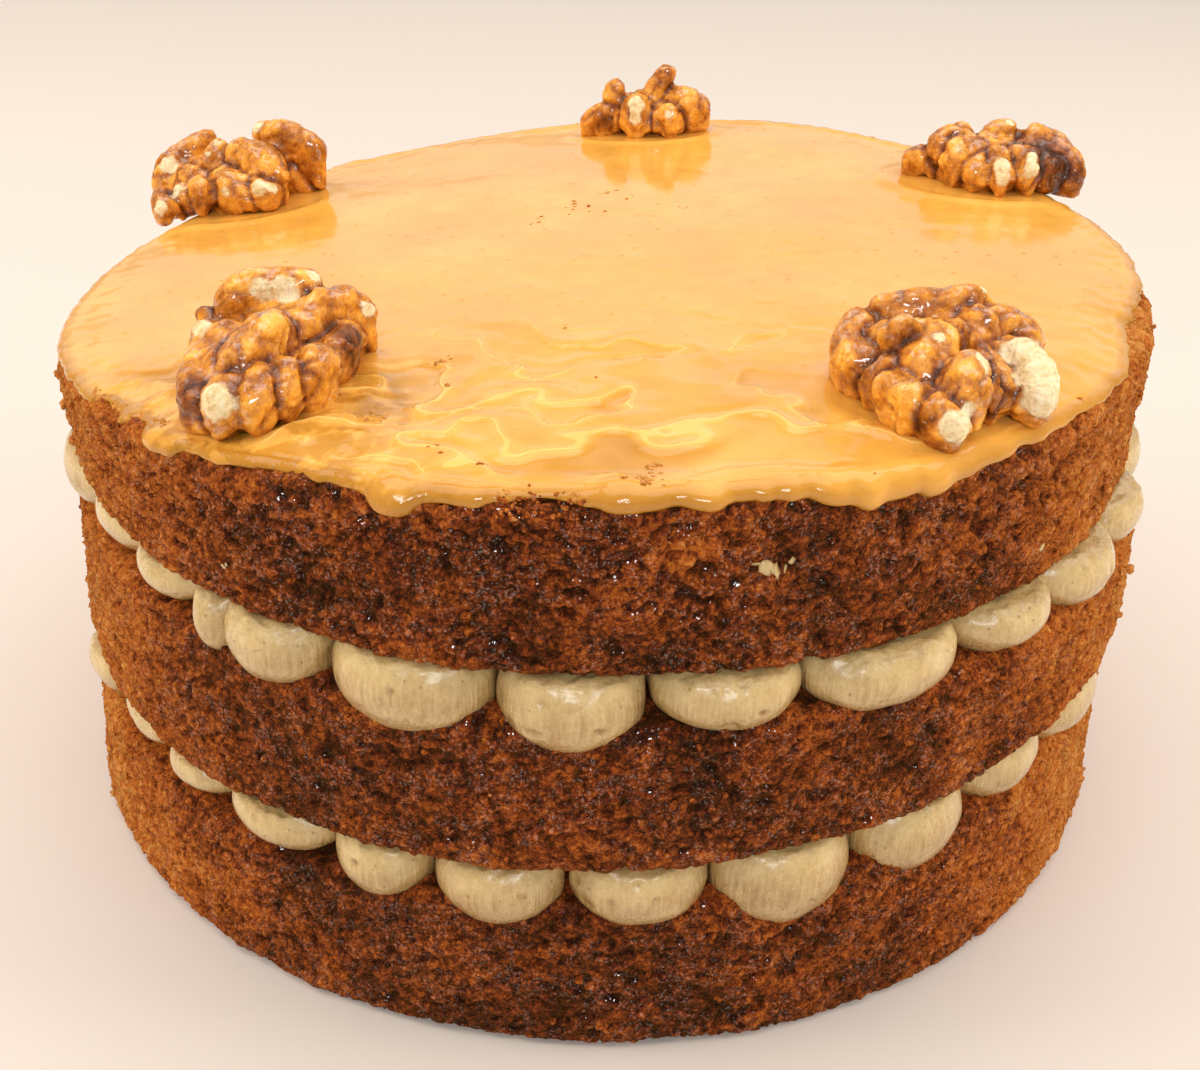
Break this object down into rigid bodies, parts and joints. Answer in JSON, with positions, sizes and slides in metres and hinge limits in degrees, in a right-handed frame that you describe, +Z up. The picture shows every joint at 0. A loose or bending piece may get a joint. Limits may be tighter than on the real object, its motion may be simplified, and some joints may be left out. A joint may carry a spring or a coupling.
{
  "type": "coffee and walnut layer cake",
  "caption": "Round layered coffee and walnut sponge with rings of piped coffee buttercream domes between the layers, glossy coffee icing poured on top and walnut halves round the edge.",
  "frame": {"origin": "middle of the cake's outer box, on the flat foot it stands on", "axes": "+Z up through the layers, -Y towards the front with the two large walnut halves, +X to the right seen from the front"},
  "size_m": [0.1838, 0.1845, 0.1049],
  "materials": {
    "sponge": "open, moist coffee sponge crumb",
    "cream": "soft satin coffee buttercream with fine pits",
    "icing": "glossy poured coffee icing",
    "kernel": "oily walnut skin with pale broken spots"
  },
  "bodies": {
    "root": {"sponge_bottom": "sponge", "sponge_middle": "sponge", "sponge_top": "sponge", "filling_lower": "cream", "filling_upper": "cream", "lower_dome_01": "cream", "lower_dome_02": "cream", "lower_dome_03": "cream", "lower_dome_04": "cream", "lower_dome_05": "cream", "lower_dome_06": "cream", "lower_dome_07": "cream", "lower_dome_08": "cream", "lower_dome_09": "cream", "lower_dome_10": "cream", "lower_dome_11": "cream", "lower_dome_12": "cream", "lower_dome_13": "cream", "lower_dome_14": "cream", "lower_dome_15": "cream", "lower_dome_16": "cream", "lower_dome_17": "cream", "lower_dome_18": "cream", "lower_dome_19": "cream", "lower_dome_20": "cream", "lower_dome_21": "cream", "lower_dome_22": "cream", "lower_dome_23": "cream", "lower_dome_24": "cream", "lower_dome_25": "cream", "upper_dome_01": "cream", "upper_dome_02": "cream", "upper_dome_03": "cream", "upper_dome_04": "cream", "upper_dome_05": "cream", "upper_dome_06": "cream", "upper_dome_07": "cream", "upper_dome_08": "cream", "upper_dome_09": "cream", "upper_dome_10": "cream", "upper_dome_11": "cream", "upper_dome_12": "cream", "upper_dome_13": "cream", "upper_dome_14": "cream", "upper_dome_15": "cream", "upper_dome_16": "cream", "upper_dome_17": "cream", "upper_dome_18": "cream", "upper_dome_19": "cream", "upper_dome_20": "cream", "upper_dome_21": "cream", "upper_dome_22": "cream", "upper_dome_23": "cream", "upper_dome_24": "cream", "coffee_glaze": "icing", "walnut_1": "kernel", "walnut_2": "kernel", "walnut_3": "kernel", "walnut_4": "kernel", "walnut_5": "kernel"}
  },
  "joints": []
}
